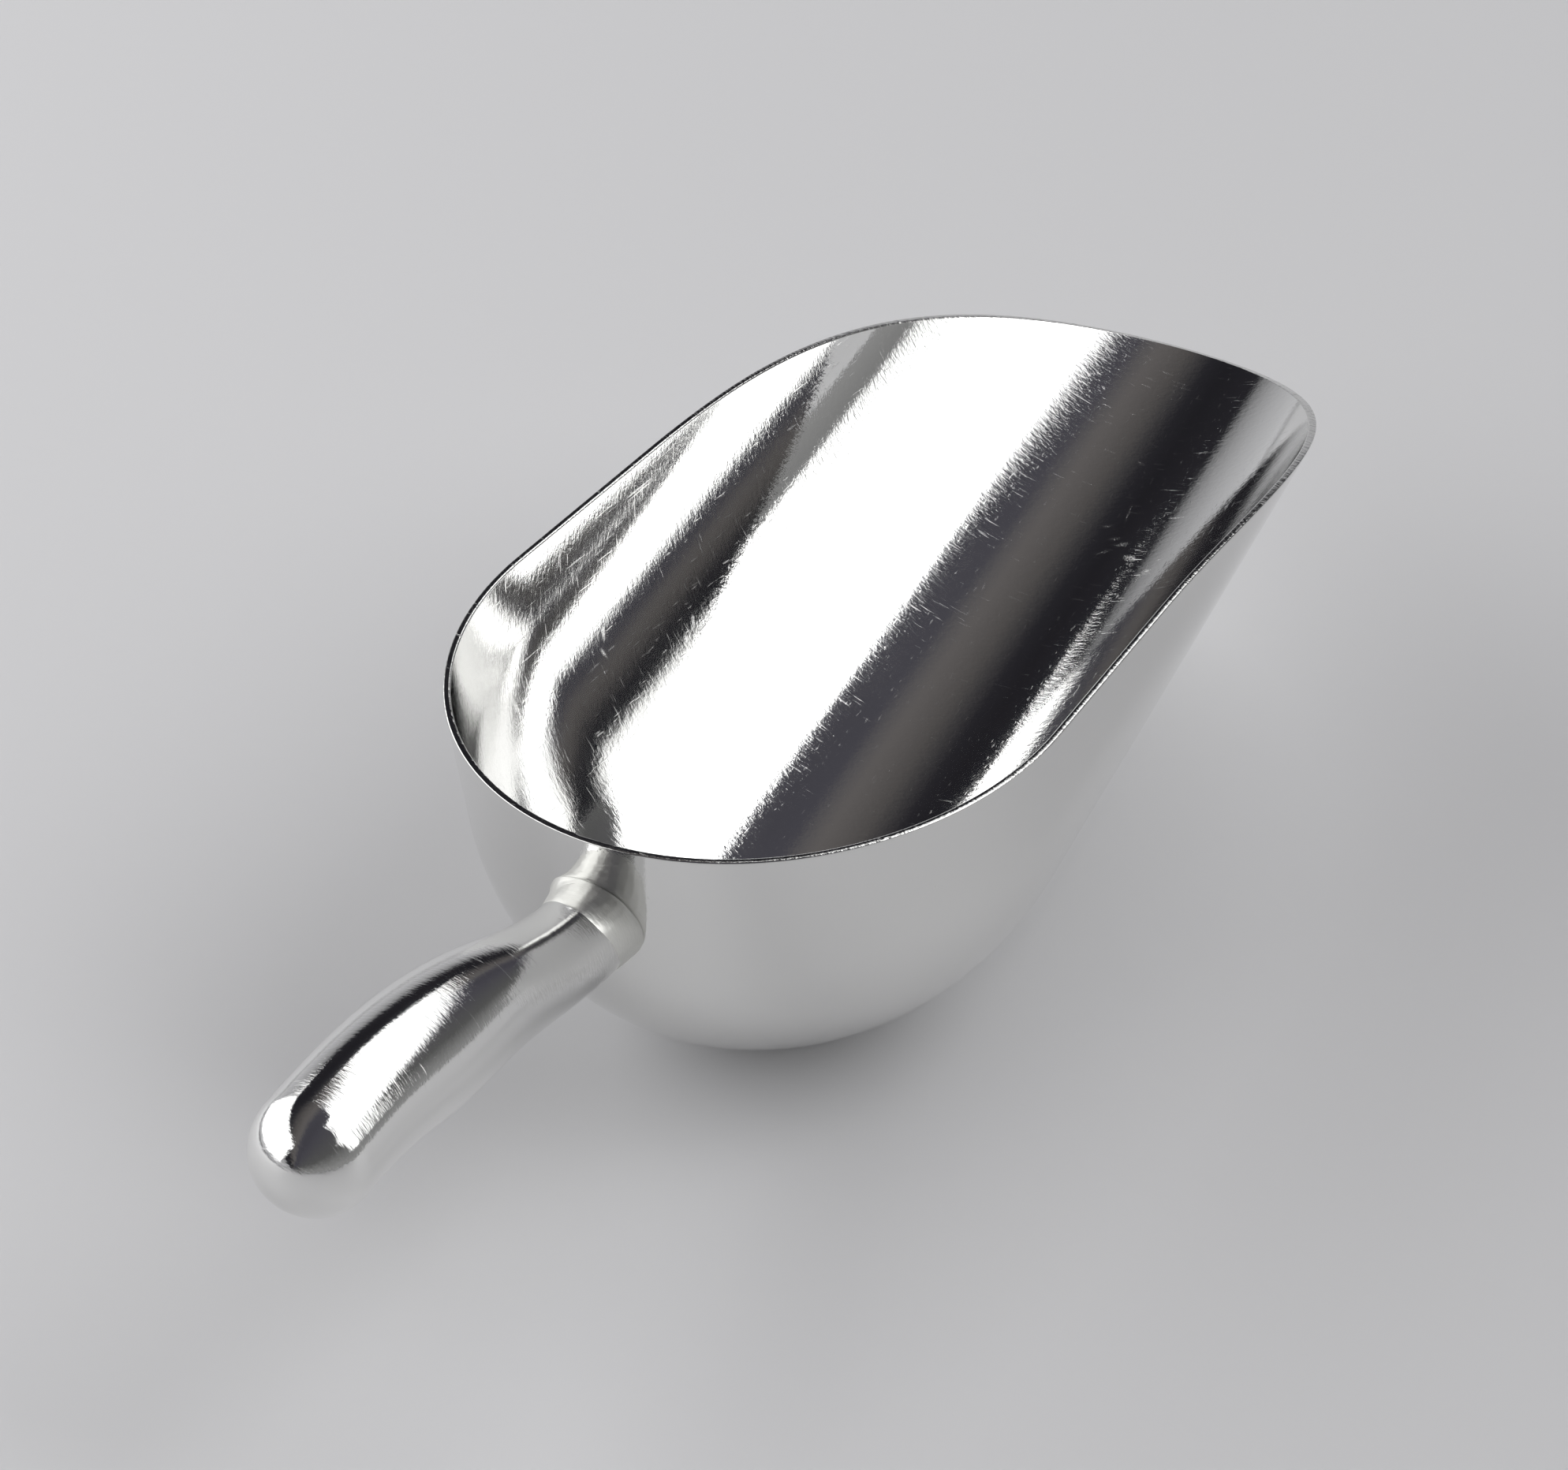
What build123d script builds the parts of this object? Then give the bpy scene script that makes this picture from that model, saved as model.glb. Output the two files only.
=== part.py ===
from build123d import *
import os
from math import acos, atan2, cos, degrees, hypot, radians, sin, sqrt, tan

# Ice scoop: an open, round-bottomed sheet bowl and an arched, hollow, round handle.
# Millimetres and degrees. +X runs from the handle to the nose, +Z is up, and Y = 0 is the plane of symmetry.
# The scoop stands as it rests on a counter: level rim round the back, nose raised.

# Bowl. Its own axis runs along the trough, through the middle of its widest place.
sheet = 1.2
half_width = 50.0
back_reach = 56.8
side_taper = 2.5
trough_reach = 150.0
wall_reach = 60.0
nose_up = 13.4
flat_depth = 0.5

# Rim: heights above the counter, and X measured from below the bowl's widest place
rim_height = 64.5
rim_level_to = 26.5
nose_x = 135.5
nose_z = 39.7
nose_overrun = 4.0

# Handle: (x, height, radius) from inside the back wall to the centre of the butt
handle_stations = (
    (-62.0, 47.0, 7.4),
    (-80.0, 47.4, 7.6),
    (-91.0, 49.8, 8.1),
    (-104.0, 53.2, 9.3),
    (-119.0, 55.4, 10.4),
    (-134.0, 56.8, 10.1),
    (-141.5, 56.6, 10.0),
    (-147.5, 56.0, 10.0),
)
handle_wall = 2.2
seam_width = 0.8

# Weld collar round the neck: its legs along the back wall and along the neck
collar_wall_leg = 2.0
collar_neck_leg = 8.0

# Size of the blocks that cut, larger than the scoop
reach = 400.0


def outline(inset):
    """Half of the bowl's plan: a quarter ellipse round the back, then a straight, tapering side."""
    length = back_reach - inset
    width = half_width - inset
    slope = tan(radians(side_taper))
    touch_x = slope * length**2 / hypot(width, slope * length)
    touch_y = width * sqrt(1.0 - (touch_x / length) ** 2)
    end_y = touch_y - slope * (trough_reach - touch_x)
    turn = degrees(acos(touch_x / length))
    back = EllipticalCenterArc((0, 0), length, width, turn, arc_size=180 - turn)
    side = Line((touch_x, touch_y), (trough_reach, end_y))
    front = Line((trough_reach, end_y), (trough_reach, 0))
    middle = Line((trough_reach, 0), (-length, 0))
    return make_face([back, side, front, middle])


def trough(inset):
    """The bowl filled solid: half a turn of the plan below its axis, straight walls above."""
    half = outline(inset)
    belly = revolve(half, Axis((0, 0, 0), (-1, 0, 0)), 180)
    plan = half + mirror(half, Plane.XZ)
    walls = extrude(plan, wall_reach, dir=(0, 0, 1))
    return belly + walls


def stand(shape):
    """Tips the bowl nose up and sinks its belly below the counter by the depth of the flat."""
    tip = radians(nose_up)
    belly = hypot(half_width * cos(tip), back_reach * sin(tip))
    lean = half_width * sin(tip)
    return Pos(-lean, 0, belly - flat_depth) * Rot(0, -nose_up, 0) * shape


def below(height):
    """A block that fills everything below a height."""
    return Pos(0, 0, height - reach / 2) * Box(reach * 2, reach * 2, reach)


def rim_cutter():
    """Everything above the rim: level round the back, then one arc down to the nose and past it."""
    run = nose_x - rim_level_to
    drop = rim_height - nose_z
    radius = (run**2 + drop**2) / (2.0 * drop)
    centre_z = rim_height - radius
    nose_angle = degrees(atan2(nose_z - centre_z, run))
    end_angle = nose_angle - nose_overrun
    end_x = rim_level_to + radius * cos(radians(end_angle))
    end_z = centre_z + radius * sin(radians(end_angle))
    with BuildSketch(Plane.XZ) as profile:
        with BuildLine():
            Line((-reach, rim_height), (rim_level_to, rim_height))
            CenterArc((rim_level_to, centre_z), radius, 90, end_angle - 90)
            Line((end_x, end_z), (reach, end_z))
            Line((reach, end_z), (reach, reach))
            Line((reach, reach), (-reach, reach))
            Line((-reach, reach), (-reach, rim_height))
        make_face()
    return extrude(profile.sketch, reach, both=True)


def bowl(outer, inner):
    """The drawn sheet: one thickness all over, apart from the small flat worn under the belly."""
    return outer - inner - below(0) - rim_cutter()


def handle_skin(inset):
    """A round, arched bar through the stations, closed by half a ball at the butt."""
    centres = [Vector(x, 0, z) for x, z, _ in handle_stations]
    path = Spline(*centres)
    sections = []
    for centre, (_, _, radius) in zip(centres, handle_stations):
        along = path.tangent_at(path.param_at_point(centre))
        plane = Plane(origin=centre, x_dir=(0, 1, 0), z_dir=along)
        sections.append(plane * Circle(radius - inset))
    on_its_flat = (Align.CENTER, Align.CENTER, Align.MIN)
    butt = plane * Sphere(radius - inset, 0, 90, 360, align=on_its_flat)
    return loft(sections) + butt


def weld_collar(outer, skin):
    """The weld metal that fills the corner between the neck and the back wall."""
    joined = outer + skin
    corner = [edge for edge in joined.edges() if is_neck_corner(edge, outer)]
    return joined.chamfer(collar_wall_leg, collar_neck_leg, corner) - joined


def is_neck_corner(edge, outer):
    """True for an edge that goes round the neck where it meets the bowl's outside."""
    root_x, root_z, root_radius = handle_stations[0]
    middle = edge @ 0.5
    from_axis = hypot(middle.Y, middle.Z - root_z)
    on_neck = abs(from_axis - root_radius) < handle_wall
    behind_bowl = middle.X < root_x
    return on_neck and behind_bowl and outer.distance_to(middle) < sheet / 2


def slab(low_y, high_y):
    """A block between two planes across Y."""
    return Pos(0, (low_y + high_y) / 2, 0) * Box(reach * 2, high_y - low_y, reach * 2)


outer = stand(trough(0))
inner = stand(trough(sheet))
skin = handle_skin(0)
hollow_bar = skin - handle_skin(handle_wall) - outer
seam = seam_width / 2

nodes = {
    "bowl_shell": bowl(outer, inner),
    "handle_half_left": hollow_bar & slab(seam, reach),
    "handle_half_right": hollow_bar & slab(-reach, -seam),
    "handle_seam_weld": hollow_bar & slab(-seam, seam),
    "neck_weld_collar": weld_collar(outer, skin),
}

# The origin goes below the middle of the whole scoop, on the counter.
boxes = [node.bounding_box() for node in nodes.values()]
front = max(box.max.X for box in boxes)
rear = min(box.min.X for box in boxes)
to_origin = Pos(-(front + rear) / 2, 0, 0)

os.makedirs("parts", exist_ok=True)
for name, node in nodes.items():
    export_step(to_origin * node, f"parts/{name}.step")
    print(name, round(node.volume, 1), "mm3", len(node.solids()), "solid")
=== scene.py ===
"""Ice scoop: a mirror-polished sheet bowl, a round hollow handle and the satin weld collar between them.

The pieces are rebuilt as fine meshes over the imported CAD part. The shape functions work in millimetres,
in the bowl's build frame (X from below its widest place), and the meshes are shifted to the part's frame.
"""
import math

import bpy
import numpy as np
from mathutils import Matrix, Vector


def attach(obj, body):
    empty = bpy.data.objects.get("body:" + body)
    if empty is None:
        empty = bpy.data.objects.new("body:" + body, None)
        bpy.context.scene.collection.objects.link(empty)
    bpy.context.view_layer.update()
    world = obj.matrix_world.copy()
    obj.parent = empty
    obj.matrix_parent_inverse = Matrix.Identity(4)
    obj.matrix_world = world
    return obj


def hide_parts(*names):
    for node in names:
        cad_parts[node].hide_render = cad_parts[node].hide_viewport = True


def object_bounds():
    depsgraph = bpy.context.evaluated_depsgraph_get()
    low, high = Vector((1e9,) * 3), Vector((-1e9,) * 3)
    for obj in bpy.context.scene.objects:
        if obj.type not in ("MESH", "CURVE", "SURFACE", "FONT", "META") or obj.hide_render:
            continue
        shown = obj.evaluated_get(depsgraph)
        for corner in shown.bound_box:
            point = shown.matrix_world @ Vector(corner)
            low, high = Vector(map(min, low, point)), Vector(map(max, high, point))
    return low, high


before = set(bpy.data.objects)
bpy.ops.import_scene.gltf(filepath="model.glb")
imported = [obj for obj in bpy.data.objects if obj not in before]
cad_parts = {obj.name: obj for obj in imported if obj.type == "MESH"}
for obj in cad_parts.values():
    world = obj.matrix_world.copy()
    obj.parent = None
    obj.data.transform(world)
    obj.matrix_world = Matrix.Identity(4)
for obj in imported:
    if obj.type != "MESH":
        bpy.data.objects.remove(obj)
cad_low, cad_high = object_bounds()

MM = 0.001
rng = np.random.default_rng(24)

# ---------------------------------------------------------------- bowl shape
SHEET = 1.2
HALF_WIDTH = 50.0
BACK_REACH = 56.8
SIDE_SLOPE = math.tan(math.radians(2.5))
NOSE_UP = math.radians(13.4)
FLAT_DEPTH = 0.5
RIM_HEIGHT = 64.5
RIM_LEVEL_TO = 26.5
NOSE_X = 135.5
NOSE_Z = 39.7
EDGE_ROUND = 0.32

COS_UP, SIN_UP = math.cos(NOSE_UP), math.sin(NOSE_UP)
LEAN = HALF_WIDTH * SIN_UP
BELLY = math.hypot(HALF_WIDTH * COS_UP, BACK_REACH * SIN_UP) - FLAT_DEPTH
RIM_RUN = NOSE_X - RIM_LEVEL_TO
RIM_DROP = RIM_HEIGHT - NOSE_Z
RIM_RADIUS = (RIM_RUN**2 + RIM_DROP**2) / (2 * RIM_DROP)
# The rim's arc is followed to just before it would stand upright.
RIM_ARC_REACH = RIM_RADIUS * 0.98

# Where the searches for the nose and for the rim look, and numbers too small to matter.
NOSE_BETWEEN = (100.0, 160.0)
TALLEST_SECTION = 170.0
TINY = 1e-9
TINY_SQUARED = 1e-12


def touch(inset):
    """Where the straight side leaves the ellipse round the back: x, half width."""
    length, width = BACK_REACH - inset, HALF_WIDTH - inset
    x = SIDE_SLOPE * length**2 / math.hypot(width, SIDE_SLOPE * length)
    return x, width * math.sqrt(1 - (x / length) ** 2)


def plan_half(x, inset):
    """Half width of the plan at x, and its slope."""
    length, width = BACK_REACH - inset, HALF_WIDTH - inset
    touch_x, touch_y = touch(inset)
    root = np.sqrt(np.clip(1 - (x / length) ** 2, TINY_SQUARED, 1))
    half = np.where(x < touch_x, width * root, touch_y - SIDE_SLOPE * (x - touch_x))
    slope = np.where(x < touch_x, -width * x / (length**2 * root), -SIDE_SLOPE)
    half = np.where(x <= -length + TINY, 0.0, half)
    return half, slope


def stand(v):
    """Turns vectors of the level bowl nose up."""
    x, y, z = v[..., 0], v[..., 1], v[..., 2]
    return np.stack([x * COS_UP - z * SIN_UP, y, x * SIN_UP + z * COS_UP], -1)


def unstand(v):
    """Takes points of the standing bowl back to the level bowl."""
    x, y, z = v[..., 0] + LEAN, v[..., 1], v[..., 2] - BELLY
    return np.stack([x * COS_UP + z * SIN_UP, y, -x * SIN_UP + z * COS_UP], -1)


def bowl_point(x, s, side, inset):
    """Point and outward normal at station x and distance s up the section from the middle line."""
    half, slope = plan_half(x, inset)
    quarter = half * math.pi / 2
    angle = np.where(s < quarter, s / np.maximum(half, TINY), math.pi / 2)
    y = half * np.sin(angle)
    z = np.where(s < quarter, -half * np.cos(angle), s - quarter)
    n = np.stack([-slope, np.sin(angle), np.where(s < quarter, -np.cos(angle), 0.0)], -1)
    n /= np.linalg.norm(n, axis=-1, keepdims=True)
    flip = np.array([1.0, side, 1.0])
    place = stand(np.stack([x + 0 * y, y, z], -1) * flip) + np.array([-LEAN, 0.0, BELLY])
    return place, stand(n * flip)


def rim_z(x):
    """Height of the rim over the counter at x."""
    over = np.clip(x - RIM_LEVEL_TO, 0, RIM_ARC_REACH)
    return RIM_HEIGHT - RIM_RADIUS + np.sqrt(RIM_RADIUS**2 - over**2)


def above_rim(x, s, inset):
    """How far a point of the skin is above the rim."""
    p, _ = bowl_point(x, s, 1, inset)
    return p[..., 2] - rim_z(p[..., 0])


def bisect(f, low, high, rounds=50):
    """Where a rising function crosses nought."""
    for _ in range(rounds):
        mid = (low + high) / 2
        up = f(mid) > 0
        high = np.where(up, mid, high)
        low = np.where(up, low, mid)
    return (low + high) / 2


def nose_station(inset):
    """The station at which the middle line meets the rim, as an array of one number."""
    low, high = (np.array([x]) for x in NOSE_BETWEEN)
    return bisect(lambda x: above_rim(x, np.zeros_like(x), inset), low, high)


# From the build frame to the part's frame, whose origin is below the middle of the whole scoop.
NOSE_TIP, _ = bowl_point(nose_station(0.0), np.zeros(1), 1, 0.0)
SHIFT = np.array([cad_high.x / MM - NOSE_TIP[0, 0], 0.0, 0.0])

BACK_STATIONS, FRONT_STATIONS, ROWS = 110, 150, 72


def stations(inset):
    """Stations along the bowl, closer together at the back and at the nose."""
    length = BACK_REACH - inset
    touch_x, _ = touch(inset)
    end = nose_station(inset)[0]
    turn = np.linspace(0, math.acos(-touch_x / length), BACK_STATIONS)
    go = np.sin(np.linspace(0, math.pi / 2, FRONT_STATIONS + 1)[1:])
    return np.concatenate([-length * np.cos(turn), touch_x + (end - touch_x) * go])


# ------------------------------------------------ slight waves in the sheet
class Waves:
    """A sum of a few low sine waves in space: a height and its gradient."""

    def __init__(self, count, shortest, longest, slope):
        heading = rng.normal(size=(count, 3))
        heading /= np.linalg.norm(heading, axis=1, keepdims=True)
        length = rng.uniform(shortest, longest, count)
        self.k = heading * (2 * math.pi / length)[:, None]
        self.phase = rng.uniform(0, 2 * math.pi, count)
        self.size = slope * length / (2 * math.pi) / math.sqrt(count)

    def at(self, p):
        """The height of the waves at points, and its gradient."""
        turn = p @ self.k.T + self.phase
        return (np.sin(turn) * self.size).sum(-1), (np.cos(turn) * self.size) @ self.k

    def press(self, p, n):
        """Moves points along their normals by the waves, and tilts the normals to match."""
        h, g = self.at(p)
        g = g - (g * n).sum(-1, keepdims=True) * n
        n = n - g
        return p + h[..., None] * n, n / np.linalg.norm(n, axis=-1, keepdims=True)


sheet_waves = Waves(9, 22.0, 60.0, 0.003)
bar_waves = Waves(8, 14.0, 34.0, 0.002)


# ------------------------------------------------------------- mesh building
# Points nearer than about a ten-thousandth of a millimetre are one point.
PLACES_PER_MM = 1e4
LEAST_NORMAL = 0.3


def make_piece(name, points, normals, quads, kinds, materials, replaced, uv):
    """A mesh in the part's frame from points in millimetres; points in the same place become one.

    Where the normals given for a place add up to almost nothing, Blender works the normal out.
    """
    key = np.round(points * PLACES_PER_MM).astype(np.int64)
    _, first, back = np.unique(key, axis=0, return_index=True, return_inverse=True)
    back = back.reshape(-1)
    total = np.zeros((len(first), 3))
    np.add.at(total, back, normals)
    size = np.linalg.norm(total, axis=1, keepdims=True)
    total = np.where(size > LEAST_NORMAL, total / np.maximum(size, TINY), 0.0)
    faces, kept, corners = [], [], []
    for quad, kind in zip(quads.tolist(), kinds.tolist()):
        ids = [int(back[q]) for q in quad]
        loop = [(a, q) for k, (a, q) in enumerate(zip(ids, quad)) if a != ids[k - 1]]
        if len(loop) >= 3 and len({a for a, _ in loop}) == len(loop):
            faces.append([a for a, _ in loop])
            corners.extend(q for _, q in loop)
            kept.append(kind)
    mesh = bpy.data.meshes.new(name)
    mesh.from_pydata((points[first] + SHIFT) * MM, [], faces)
    for look in materials:
        mesh.materials.append(look)
    mesh.polygons.foreach_set("material_index", kept)
    mesh.polygons.foreach_set("use_smooth", [True] * len(faces))
    layer = mesh.uv_layers.new(name="surface")
    layer.data.foreach_set("uv", uv[corners].astype(np.float32).ravel())
    mesh.update()
    mesh.normals_split_custom_set_from_vertices(total.tolist())
    piece = bpy.data.objects.new(name, mesh)
    bpy.context.scene.collection.objects.link(piece)
    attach(piece, "root")
    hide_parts(*replaced)


def grid_quads(rows, columns, closed=False):
    """Quads of a rows x columns grid of points; the last column joins the first if closed."""
    r, c = np.meshgrid(np.arange(rows - 1), np.arange(columns if closed else columns - 1), indexing="ij")
    d = (c + 1) % columns
    a, b = r * columns + c, r * columns + d
    return np.stack([a, b, b + columns, a + columns], -1).reshape(-1, 4)


# --------------------------------------------------------------- bowl mesh
# Steps round each corner of the rim edge, and the section height, in roundings, at which it is full.
EDGE_SHARES = np.linspace(0, 1, 5)
EDGE_FADE = 6.0
# The surface coordinates grow by one in 100 mm.
UV_PER_MM = 0.01


def skin_rows(inset, side):
    """One skin on one side, from the middle line to just below the rim.

    Returns its grid of points, their normals, the sharp edge above them and their distance up the section.
    """
    x = stations(inset)
    low, high = np.zeros_like(x), np.full_like(x, TALLEST_SECTION)
    top = bisect(lambda s: above_rim(x, s, inset), low, high)
    top[-1] = 0.0
    fade = np.minimum(1.0, top / (EDGE_FADE * EDGE_ROUND))
    part = np.linspace(0, 1, ROWS)
    s = part[None, :] * (top - EDGE_ROUND * fade)[:, None]
    p, n = bowl_point(np.repeat(x[:, None], ROWS, 1), s, side, inset)
    edge, _ = bowl_point(x, top, side, inset)
    return p, n, edge, s


def arc_point(a, b, c, t):
    """A point at share t of the curve that leaves a towards b and reaches c from b."""
    return a * (1 - t) ** 2 + 2 * b * t * (1 - t) + c * t * t


def bowl_mesh(materials):
    """Both skins and the rounded rim edge between them, as one closed mesh."""
    points, normals, quads, kinds, uvs = [], [], [], [], []
    count = 0
    for side in (1, -1):
        outer, outer_n, outer_edge, outer_s = skin_rows(0.0, side)
        inner, inner_n, inner_edge, inner_s = skin_rows(SHEET, side)
        outer, outer_n = sheet_waves.press(outer, outer_n)
        inner, inner_n = sheet_waves.press(inner, inner_n)
        inner_n = -inner_n
        on_flat = outer[..., 2] < 0
        outer[..., 2] = np.maximum(outer[..., 2], 0)
        outer_n = np.where(on_flat[..., None], 0.0, outer_n)
        start, stop = outer[:, -1], inner[:, -1]
        across = inner_edge - outer_edge
        width = np.linalg.norm(across, axis=1, keepdims=True)
        nudge = across / width * np.minimum(EDGE_ROUND, width / 3)
        rim = [arc_point(start, outer_edge, outer_edge + nudge, t) for t in EDGE_SHARES[1:]]
        rim += [arc_point(inner_edge - nudge, inner_edge, stop, t) for t in EDGE_SHARES[:-1]]
        rim = np.stack([start, *rim, stop], 1)
        rim_s = np.repeat(outer_s[:, -1:], rim.shape[1], 1)
        ring = np.concatenate([outer, rim[:, 1:-1], inner[:, ::-1]], 1)
        ring_n = np.concatenate([outer_n, np.zeros_like(rim[:, 1:-1]), inner_n[:, ::-1]], 1)
        x = ring[..., 0]
        s = np.concatenate([outer_s, rim_s[:, 1:-1], inner_s[:, ::-1]], 1)
        rows, columns = ring.shape[:2]
        q = grid_quads(rows, columns)
        column = q[:, 0] % columns
        kinds.append(np.where((column >= ROWS - 1) & (column < columns - ROWS), 1, 0))
        if side == -1:
            q = q[:, ::-1]
        quads.append(q + count)
        count += rows * columns
        points.append(ring.reshape(-1, 3))
        normals.append(ring_n.reshape(-1, 3))
        uvs.append(np.stack([x * UV_PER_MM, side * s * UV_PER_MM], -1).reshape(-1, 2))
    make_piece(
        "bowl", np.concatenate(points), np.concatenate(normals), np.concatenate(quads),
        np.concatenate(kinds), materials, ["bowl_shell"], np.concatenate(uvs))


# ------------------------------------------------------------- handle shape
# Round sections from the wall to the butt: place of the centre, x and z, and radius.
STATIONS = np.array([
    (-62.0, 47.0, 7.4), (-80.0, 47.4, 7.6), (-91.0, 49.8, 8.1), (-104.0, 53.2, 9.3),
    (-119.0, 55.4, 10.4), (-134.0, 56.8, 10.1), (-141.5, 56.6, 10.0), (-147.5, 56.0, 10.0)])
KNOTS = np.concatenate([[0], np.cumsum(np.hypot(*np.diff(STATIONS[:, :2], axis=0).T))])


def natural_spline(knots, values):
    """Second derivatives of the natural cubic spline through the values."""
    n = len(knots)
    h = np.diff(knots)
    a = np.eye(n)
    b = np.zeros_like(values)
    for i in range(1, n - 1):
        a[i, i - 1:i + 2] = h[i - 1], 2 * (h[i - 1] + h[i]), h[i]
        b[i] = 6 * ((values[i + 1] - values[i]) / h[i] - (values[i] - values[i - 1]) / h[i - 1])
    return np.linalg.solve(a, b)


BENDS = natural_spline(KNOTS, STATIONS)


def along_bar(p):
    """(x, z, radius) at distance p along the stations, and the derivative."""
    i = np.clip(np.searchsorted(KNOTS, p) - 1, 0, len(KNOTS) - 2)
    h = (KNOTS[i + 1] - KNOTS[i])[..., None]
    t = (p - KNOTS[i])[..., None] / h
    a, b, ma, mb = STATIONS[i], STATIONS[i + 1], BENDS[i], BENDS[i + 1]
    value = a * (1 - t) + b * t + h * h / 6 * (((1 - t) ** 3 - (1 - t)) * ma + (t**3 - t) * mb)
    rate = (b - a) / h + h / 6 * ((1 - 3 * (1 - t) ** 2) * ma + (3 * t * t - 1) * mb)
    return value, rate


def bar_point(p, turn):
    """Point and normal on the handle's skin: distance along the bar, angle round it."""
    value, rate = along_bar(p)
    x, z, r = value[..., 0], value[..., 1], value[..., 2]
    speed = np.hypot(rate[..., 0], rate[..., 1])
    tx, tz = rate[..., 0] / speed, rate[..., 1] / speed
    c, s = np.cos(turn), np.sin(turn)
    outward = np.stack([s * tz, c, -s * tx], -1)
    tangent = np.stack([tx, 0 * tx, tz], -1)
    place = np.stack([x, 0 * x, z], -1) + r[..., None] * outward
    n = outward - (rate[..., 2] / speed)[..., None] * tangent
    return place, n / np.linalg.norm(n, axis=-1, keepdims=True)


def into_wall(point, inset):
    """Below nought outside the bowl's back wall, above it inside."""
    v = unstand(point)
    length, width = BACK_REACH - inset, HALF_WIDTH - inset
    low = np.minimum(v[..., 2], 0)
    return 1 - (v[..., 0] / length) ** 2 - (v[..., 1] ** 2 + low**2) / width**2


# The bar is out of the back wall within this distance of its start.
WALL_WITHIN = 16.0


def wall_at(turn, inset):
    """Distance along the bar at which its skin comes out of the back wall, for each angle."""
    return bisect(lambda p: -into_wall(bar_point(p, turn)[0], inset),
                  np.zeros_like(turn), np.full_like(turn, WALL_WITHIN))


BAR_SIDES, BAR_RINGS, BUTT_RINGS = 120, 240, 40
INTO_THE_WALL = SHEET * 0.6


def handle_mesh(materials):
    """The bar and its half-ball butt, closed by a flat cap inside the back wall."""
    turn = np.linspace(0, 2 * math.pi, BAR_SIDES, endpoint=False)
    root = wall_at(turn, INTO_THE_WALL)
    share = np.linspace(0, 1, BAR_RINGS)[:, None]
    p = root[None, :] + (KNOTS[-1] - root)[None, :] * share
    t = np.repeat(turn[None, :], BAR_RINGS, 0)
    place, n = bar_point(p, t)
    end, rate = along_bar(np.array([KNOTS[-1]]))
    x, z, r = end[0]
    axis = np.array([rate[0, 0], 0, rate[0, 1]]) / math.hypot(rate[0, 0], rate[0, 1])
    up = np.array([axis[2], 0, -axis[0]])
    tilt = np.linspace(0, math.pi / 2, BUTT_RINGS + 1)[1:, None]
    outward = np.cos(turn)[:, None] * np.array([0, 1, 0]) + np.sin(turn)[:, None] * up
    ball_n = np.cos(tilt)[..., None] * outward[None] + np.sin(tilt)[..., None] * axis
    ball = np.array([x, 0, z]) + r * ball_n
    place = np.concatenate([place, ball])
    n = np.concatenate([n, ball_n])
    place, n = bar_waves.press(place, n)
    cap = np.repeat(place[:1].mean(axis=1, keepdims=True), BAR_SIDES, 1)
    place = np.concatenate([cap, place])
    n = np.concatenate([np.zeros_like(cap), n])
    rows = len(place)
    length = np.concatenate([root[None], p, KNOTS[-1] + r * np.repeat(tilt, BAR_SIDES, 1)])
    uv = np.stack([length * UV_PER_MM, np.repeat(turn[None], rows, 0) / (2 * math.pi)], -1)
    quads = grid_quads(rows, BAR_SIDES, closed=True)[:, ::-1]
    make_piece(
        "handle", place.reshape(-1, 3), n.reshape(-1, 3), quads, np.zeros(len(quads), int), materials,
        ["handle_half_left", "handle_half_right", "handle_seam_weld"], uv.reshape(-1, 2))


# ------------------------------------------------------------- weld collar
COLLAR_SIDES, COLLAR_STEPS = 180, 22
# The legs of the collar, up the wall and along the neck: middle size, how much it swings round the neck,
# the angle at which it is longest, and small waves (how many round, phase, size).
WALL_LEG = (1.15, 0.9, math.radians(-10), ((5, 4.0, 0.05), (9, 1.0, 0.03)))
NECK_LEG = (6.4, 2.1, math.radians(130), ((3, 0.4, 0.22), (8, 2.2, 0.07)))
# How far the hollow between the legs stands off the corner, outwards and along the neck leg.
HOLLOW_OUT, HOLLOW_ALONG = 0.45, 0.2
# The skin is lifted off the bar and dipped at its two edges, and rippled: size, how many round, slant, phase.
SKIN_LIFT, EDGE_DIP = 0.08, 0.2
RIPPLES = ((0.012, 31, -2.0, 1.0), (0.03, 9, 5.0, 0.0))
# Where the ring closes inside the wall: share of the way to the neck's middle, and along X.
BURIED_IN, BURIED_X = 0.12, 0.7
# The search for the wall from a point beside it: direction, and how far each way.
TO_THE_WALL = np.array([-1.0, 0.0, 0.02])
WALL_SEARCH = (-14.0, 26.0)


def wobble(turn, terms):
    """A closed wave round the collar: terms are (how many times round, phase, size)."""
    return sum(size * np.sin(times * turn + phase) for times, phase, size in terms)


def leg(turn, middle, swing, longest_at, waves):
    """The length of one leg of the collar at each angle."""
    return middle + swing * np.cos(turn - longest_at) + wobble(turn, waves)


def onto_wall(points):
    """Moves points along the bar's direction onto the outside of the back wall."""
    low, high = (np.full(points.shape[:-1], reach) for reach in WALL_SEARCH)
    far = bisect(lambda d: -into_wall(points + d[..., None] * TO_THE_WALL, 0.0), low, high)
    return points + far[..., None] * TO_THE_WALL


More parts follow.
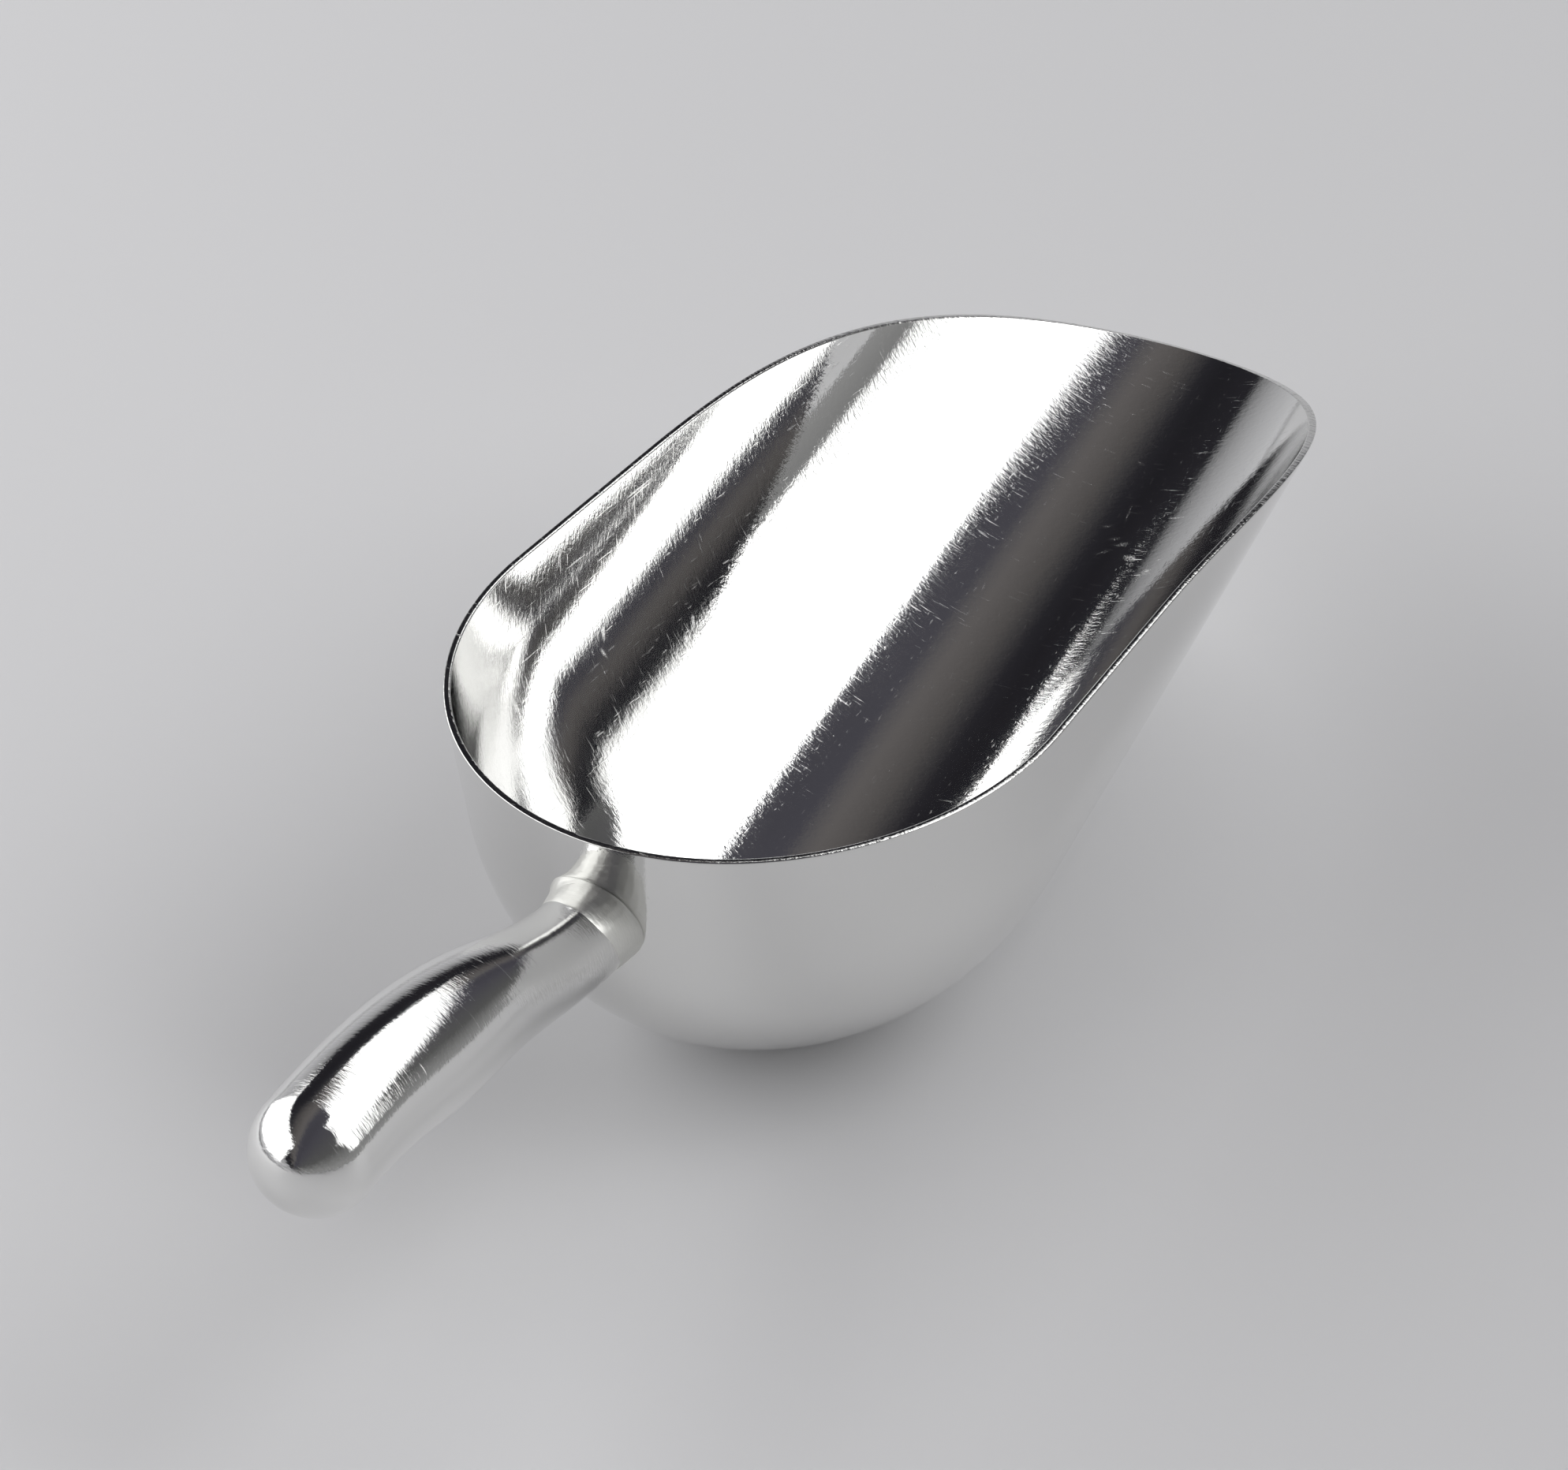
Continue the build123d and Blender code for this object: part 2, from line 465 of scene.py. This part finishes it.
def collar_mesh(materials):
    """A hollow-faced ring of weld metal between the back wall and the neck."""
    turn = np.linspace(0, 2 * math.pi, COLLAR_SIDES, endpoint=False)
    corner_p = wall_at(turn, 0.0)
    corner, _ = bar_point(corner_p, turn)
    middle = along_bar(corner_p)[0]
    centre = np.stack([middle[:, 0], 0 * turn, middle[:, 1]], -1)
    out = corner - centre
    out /= np.linalg.norm(out, axis=1, keepdims=True)
    foot = onto_wall(corner + out * leg(turn, *WALL_LEG)[:, None])
    top, _ = bar_point(corner_p + leg(turn, *NECK_LEG), turn)
    part = np.linspace(0, 1, COLLAR_STEPS)[None, :, None]
    hollow = corner + out * HOLLOW_OUT + (top - corner) * HOLLOW_ALONG
    skin = arc_point(foot[:, None], hollow[:, None], top[:, None], part)
    around = np.roll(skin, -1, 0) - np.roll(skin, 1, 0)
    down = np.gradient(skin, axis=1)
    n = np.cross(down, around)
    n /= np.linalg.norm(n, axis=-1, keepdims=True)
    share = part[..., 0]
    swell = np.sin(math.pi * share)
    ripple = sum(size * np.sin(times * turn[:, None] + slant * share + phase)
                 for size, times, slant, phase in RIPPLES)
    lift = SKIN_LIFT - EDGE_DIP * (1 - swell) ** 3 + ripple * swell
    skin = skin + n * lift[..., None]
    buried = (corner + (centre - corner) * BURIED_IN + np.array([BURIED_X, 0, 0]))[:, None]
    ring = np.concatenate([skin, buried], 1)
    columns = ring.shape[1]
    round_share, down_share = np.meshgrid(turn, np.linspace(0, 1, columns), indexing="ij")
    uv = np.stack([round_share, down_share], -1)
    index = np.arange(len(turn) * columns).reshape(len(turn), columns)
    r, c = np.meshgrid(np.arange(len(turn)), np.arange(columns), indexing="ij")
    next_r, next_c = (r + 1) % len(turn), (c + 1) % columns
    corners = [index[r, c], index[r, next_c], index[next_r, next_c], index[next_r, c]]
    quads = np.stack(corners, -1).reshape(-1, 4)
    make_piece(
        "weld_collar", ring.reshape(-1, 3), np.zeros((ring.shape[0] * columns, 3)), quads,
        np.zeros(len(quads), int), materials, ["neck_weld_collar"], uv.reshape(-1, 2))


# --------------------------------------------------------------- materials
def material(name):
    """A new material, its node tree and its shader."""
    made = bpy.data.materials.new(name)
    made.use_nodes = True
    tree = made.node_tree
    return made, tree, tree.nodes["Principled BSDF"]


def node(tree, kind, **settings):
    """A new node with its settings: inputs by their names, and other properties."""
    made = tree.nodes.new(kind)
    for key, value in settings.items():
        if key in made.inputs:
            made.inputs[key].default_value = value
        else:
            setattr(made, key, value)
    return made


def noise(tree, where, stretch, scale, detail, rough, spin=(0, 0, 0)):
    """A noise stretched along an axis of the piece, with its scale in features per metre."""
    place = tree.nodes.new("ShaderNodeMapping")
    place.inputs["Scale"].default_value = stretch
    place.inputs["Rotation"].default_value = spin
    tree.links.new(where, place.inputs["Vector"])
    made = tree.nodes.new("ShaderNodeTexNoise")
    made.inputs["Scale"].default_value = scale
    made.inputs["Detail"].default_value = detail
    made.inputs["Roughness"].default_value = rough
    tree.links.new(place.outputs["Vector"], made.inputs["Vector"])
    return made.outputs["Fac"]


def remap(tree, value, low, high, to_low, to_high):
    """Takes low to to_low and high to to_high, and stays between them."""
    made = tree.nodes.new("ShaderNodeMapRange")
    for key, number in (("From Min", low), ("From Max", high), ("To Min", to_low), ("To Max", to_high)):
        made.inputs[key].default_value = number
    tree.links.new(value, made.inputs["Value"])
    return made.outputs["Result"]


def feed(tree, sockets, values):
    """Sets each socket to its number, or links it to its output."""
    for socket, value in zip(sockets, values):
        if isinstance(value, float):
            socket.default_value = value
        else:
            tree.links.new(value, socket)


def maths(tree, kind, a, b):
    """One sum of two numbers or outputs."""
    made = tree.nodes.new("ShaderNodeMath")
    made.operation = kind
    feed(tree, made.inputs, (a, b))
    return made.outputs[0]


def bump(tree, height, distance, before=None):
    """A normal tilted by a height, over the normal before it."""
    made = tree.nodes.new("ShaderNodeBump")
    made.inputs["Strength"].default_value = 1.0
    made.inputs["Distance"].default_value = distance
    tree.links.new(height, made.inputs["Height"])
    if before is not None:
        tree.links.new(before, made.inputs["Normal"])
    return made.outputs["Normal"]


def blend(tree, a, b, share):
    """a where share is nought, b where it is one."""
    made = tree.nodes.new("ShaderNodeMix")
    made.data_type = "FLOAT"
    feed(tree, (made.inputs["Factor"], made.inputs["A"], made.inputs["B"]), (share, a, b))
    return made.outputs["Result"]


EVEN, LENGTHWISE, SLANTED = (1, 1, 1), (0, 0, 0), (0, 12, 24)
# Most of a noise lies between these, and most of two noises added together.
NOISE_RANGE, TWO_NOISE_RANGE = (0.35, 0.65), (0.75, 1.25)
# The heights of a noise between which a scratch begins and is full, and how much rougher it is.
SCRATCH_FROM, SCRATCH_FULL, SCRATCH_ROUGHER = 0.68, 0.76, 0.12
SCUFF_ROUGHNESS, SCUFF_DEPTH, SCUFF_GRAIN, SCUFF_COVER = 0.36, 0.02, 3200.0, (0.1, 0.8)
# A scuff is full in its inner fifth, and reaches this far up and down.
MARK_FULL_TO, MARK_HEIGHT = 0.2, 2.0


def mark(tree, where, centre, heading, half_length, half_width):
    """One at a scuff's middle and nought outside it. Centre and sizes in millimetres, heading in degrees."""
    place = tree.nodes.new("ShaderNodeMapping")
    place.vector_type = "TEXTURE"
    place.inputs["Location"].default_value = [v * MM for v in centre]
    place.inputs["Rotation"].default_value = (0, 0, math.radians(heading))
    place.inputs["Scale"].default_value = (half_length * MM, half_width * MM, MARK_HEIGHT * MM)
    tree.links.new(where, place.inputs["Vector"])
    reach = node(tree, "ShaderNodeVectorMath", operation="LENGTH")
    tree.links.new(place.outputs["Vector"], reach.inputs[0])
    return remap(tree, reach.outputs["Value"], 1.0, MARK_FULL_TO, 0.0, 1.0)


def steel(name, tint, rough, grain, grain_size, along, scratches=(), marks=()):
    """Polished steel: fine grain stretched along the polishing, smears, long scratches and single scuffs.

    grain is the depth of the grain and grain_size its width, in millimetres; rough is a least and a most.
    """
    made, tree, shader = material(name)
    where = tree.nodes.new("ShaderNodeTexCoord").outputs["Object"]
    shader.inputs["Base Color"].default_value = (*tint, 1)
    shader.inputs["Metallic"].default_value = 1.0
    smear = noise(tree, where, EVEN, scale=30.0, detail=4.0, rough=0.6)
    fine = noise(tree, where, along, scale=1 / (grain_size * MM), detail=3.0, rough=0.65)
    worn_more = noise(tree, where, (0.4, 1, 1), scale=70.0, detail=2.0, rough=0.5)
    patches = remap(tree, worn_more, *NOISE_RANGE, 0.65, 1.0)
    normal = bump(tree, maths(tree, "MULTIPLY", fine, patches), grain * MM)
    rough_now = remap(tree, maths(tree, "ADD", smear, fine), *TWO_NOISE_RANGE, *rough)
    for stretch, spin, size, depth in scratches:
        heading = [math.radians(v) for v in spin]
        line = noise(tree, where, stretch, 1 / (size * MM), detail=1.0, rough=0.5, spin=heading)
        line = remap(tree, line, SCRATCH_FROM, SCRATCH_FULL, 0.0, 1.0)
        normal = bump(tree, line, -depth * MM, normal)
        rough_now = maths(tree, "ADD", rough_now, maths(tree, "MULTIPLY", line, SCRATCH_ROUGHER))
    worn = None
    for one in marks:
        spot = mark(tree, where, *one)
        worn = spot if worn is None else maths(tree, "MAXIMUM", worn, spot)
    if worn is not None:
        torn = noise(tree, where, EVEN, SCUFF_GRAIN, detail=3.0, rough=0.7)
        worn = maths(tree, "MULTIPLY", worn, remap(tree, torn, *NOISE_RANGE, *SCUFF_COVER))
        rough_now = blend(tree, rough_now, SCUFF_ROUGHNESS, worn)
        normal = bump(tree, maths(tree, "MULTIPLY", worn, torn), -SCUFF_DEPTH * MM, normal)
    tree.links.new(rough_now, shader.inputs["Roughness"])
    tree.links.new(normal, shader.inputs["Normal"])
    return made


def inside_bowl(station, across):
    """A place on the bowl's inner skin: its station, and how far up the section, towards +Y above nought."""
    side = math.copysign(1, across)
    place, _ = bowl_point(np.array(float(station)), np.array(float(abs(across))), side, SHEET)
    return place + SHIFT


def on_neck(along, turn, proud):
    """A place over the neck: distance along the bar, degrees round it, and height over its skin."""
    place, n = bar_point(np.array(along), np.array(math.radians(turn)))
    return place + n * proud + SHIFT


# Long scratches: stretch, heading, width in millimetres and depth in millimetres.
BOWL_SCRATCHES = (((0.03, 1, 1), SLANTED, 0.5, 0.003), ((1, 0.08, 0.08), LENGTHWISE, 0.4, 0.003))
RIM_FILE_MARKS = (((1, 0.15, 0.15), LENGTHWISE, 0.6, 0.05),)
HANDLE_SCRATCHES = (((1, 0.06, 0.06), LENGTHWISE, 0.4, 0.006),)
COLLAR_BRUSHING = (((1, 0.1, 0.1), SLANTED, 0.5, 0.02),)

# Scuffs inside the bowl: station, distance up the section, heading, half length and half width.
# The first eight are one patch by the nose. Two are at the tip, and four are on the +Y side by the back.
SCUFFS = (
    (96, -5, -70, 1.3, 0.6), (93.5, -7.5, -75, 1.6, 0.7), (92.5, -9.5, -70, 2.0, 0.8),
    (89.5, -12.5, -110, 1.9, 0.8), (90, -7, -60, 2.0, 0.5), (86.5, -18, -80, 1.4, 0.9),
    (111.5, -3.5, -110, 1.6, 0.4), (100, -7, 12, 3.4, 0.45),
    (125.5, 14, 20, 0.5, 0.4), (124.5, 10.5, 60, 0.6, 0.3),
    (29.5, 46.5, -60, 0.6, 0.6), (33, 47.5, 30, 0.8, 0.4),
    (16, 60.5, 30, 1.0, 0.35), (14, 58, -40, 1.1, 0.35))
bowl_marks = [(inside_bowl(station, across), *size) for station, across, *size in SCUFFS]
# Pits in the collar: distance along the bar, degrees round it, height over its skin, then as the scuffs.
PITS = ((13.5, 113, 0.35, 20, 0.5, 0.25), (14.5, 128, 0.35, -40, 0.6, 0.4))
collar_marks = [(on_neck(along, turn, proud), *size) for along, turn, proud, *size in PITS]

bowl_steel = steel(
    "bowl_steel", tint=(0.80, 0.80, 0.79), rough=(0.05, 0.09), grain=0.027, grain_size=0.65,
    along=(1, 0.45, 0.45), scratches=BOWL_SCRATCHES, marks=bowl_marks)
edge_steel = steel(
    "rim_edge_steel", tint=(0.66, 0.66, 0.65), rough=(0.07, 0.15), grain=0.16, grain_size=0.9,
    along=(1, 0.12, 0.12), scratches=RIM_FILE_MARKS)
handle_steel = steel(
    "handle_steel", tint=(0.78, 0.78, 0.77), rough=(0.06, 0.11), grain=0.042, grain_size=0.55,
    along=(1, 0.3, 0.3), scratches=HANDLE_SCRATCHES)
collar_steel = steel(
    "collar_steel", tint=(0.72, 0.72, 0.69), rough=(0.32, 0.44), grain=0.06, grain_size=0.6,
    along=(1, 0.25, 0.25), scratches=COLLAR_BRUSHING, marks=collar_marks)

bowl_mesh([bowl_steel, edge_steel])
handle_mesh([handle_steel])
collar_mesh([collar_steel])

# ---------------------------------------------------------- floor and light
FLOOR_REACH = 12.0
floor_corners = [(x * FLOOR_REACH, y * FLOOR_REACH, 0) for x, y in ((-1, -1), (1, -1), (1, 1), (-1, 1))]
floor_mesh = bpy.data.meshes.new("floor")
floor_mesh.from_pydata(floor_corners, [], [(0, 1, 2, 3)])
floor = bpy.data.objects.new("floor", floor_mesh)
bpy.context.scene.collection.objects.link(floor)
floor_look, _, floor_shader = material("floor_paper")
floor_shader.inputs["Base Color"].default_value = (0.72, 0.72, 0.73, 1)
floor_shader.inputs["Roughness"].default_value = 0.6
floor_mesh.materials.append(floor_look)

PANEL_RADIANCE = 1.75
# Name: bearing from +X, angle from straight up and twist, in degrees; distance, width and height, in metres.
SOFT_BOXES = {
    "soft_box_side": (-65.9, 48.9, -6.5, 5.0, 2.12, 5.46),
    "soft_box_front": (-37.2, 39.9, 10.6, 5.0, 9.48, 2.77),
    "soft_box_far": (113.1, 60.2, 0.7, 1.07, 2.12, 0.87),
}
for name, (around, down, roll, distance, width, height) in SOFT_BOXES.items():
    bearing, zenith, twist = (math.radians(v) for v in (around, down, roll))
    ahead = Vector((math.cos(bearing), math.sin(bearing), 0))
    side = Vector((-math.sin(bearing), math.cos(bearing), 0))
    up = Vector((0, 0, 1))
    to_box = ahead * math.sin(zenith) + up * math.cos(zenith)
    fall = ahead * math.cos(zenith) - up * math.sin(zenith)
    tall = fall * math.cos(twist) + side * math.sin(twist)
    wide = side * math.cos(twist) - fall * math.sin(twist)
    light = bpy.data.lights.new(name, "AREA")
    light.shape = "RECTANGLE"
    light.size, light.size_y = width, height
    light.energy = PANEL_RADIANCE * math.pi * width * height
    box = bpy.data.objects.new(name, light)
    bpy.context.scene.collection.objects.link(box)
    box.matrix_world = Matrix((wide, -tall, to_box)).transposed().to_4x4()
    box.location = to_box * distance
    box.visible_camera = False

# The room round the soft boxes: degrees from straight up towards -Y or +Y, brightness and tint.
PLAIN, FAINT, COOL = (1, 1, 1), (1, 1, 1.03), (1, 0.97, 1.18)
DULL, WARM = (1, 0.95, 1), (1, 0.93, 0.92)
ROOM = (
    (-90, 0.30, PLAIN), (-78, 0.22, PLAIN), (-60, 0.10, PLAIN), (-20, 0.07, COOL), (-10, 0.062, COOL),
    (0, 0.068, COOL), (4, 0.105, DULL), (9, 0.13, WARM), (14, 0.115, WARM), (21, 0.088, WARM),
    (26, 0.055, DULL), (32, 0.022, COOL), (40, 0.016, COOL), (58, 0.02, COOL), (60.5, 0.20, FAINT),
    (66, 0.34, FAINT), (74, 0.45, FAINT), (86, 0.55, FAINT), (90, 0.60, FAINT))
world = bpy.data.worlds.new("studio")
world.use_nodes = True
room = world.node_tree
heading = node(room, "ShaderNodeSeparateXYZ")
room.links.new(node(room, "ShaderNodeTexCoord").outputs["Generated"], heading.inputs[0])
lean_angle = maths(room, "ARCTAN2", heading.outputs["Y"], heading.outputs["Z"])
ramp = node(room, "ShaderNodeValToRGB")
room.links.new(remap(room, lean_angle, -math.pi / 2, math.pi / 2, 0.0, 1.0), ramp.inputs["Fac"])
stops = ramp.color_ramp.elements
for at, _, _ in ROOM[1:-1]:
    stops.new((at + 90) / 180)
for stop, (at, brightness, tint) in zip(stops, ROOM):
    stop.position = (at + 90) / 180
    stop.color = (*(brightness * part for part in tint), 1)
room.links.new(ramp.outputs["Color"], room.nodes["Background"].inputs["Color"])
bpy.context.scene.world = world
bpy.context.scene.view_settings.view_transform = "Standard"

# ------------------------------------------------------------------ camera
LENS, SENSOR_WIDTH, CLIP_START = 145.885, 36.0, 0.05
AZIMUTH, ELEVATION = math.radians(59.98), math.radians(35.26)
CAMERA_DISTANCE = 1.1
TARGET = np.array([0.05459, 0.03204, 0.00124])
camera_data = bpy.data.cameras.new("camera")
camera_data.sensor_width = SENSOR_WIDTH
camera_data.lens = LENS
camera_data.clip_start = CLIP_START
camera = bpy.data.objects.new("camera", camera_data)
bpy.context.scene.collection.objects.link(camera)
level = math.cos(ELEVATION)
look = np.array([math.sin(AZIMUTH) * level, math.cos(AZIMUTH) * level, -math.sin(ELEVATION)])
camera.location = TARGET - CAMERA_DISTANCE * look
camera.rotation_mode = "QUATERNION"
camera.rotation_quaternion = Vector(look).to_track_quat("-Z", "Y")
bpy.context.scene.camera = camera
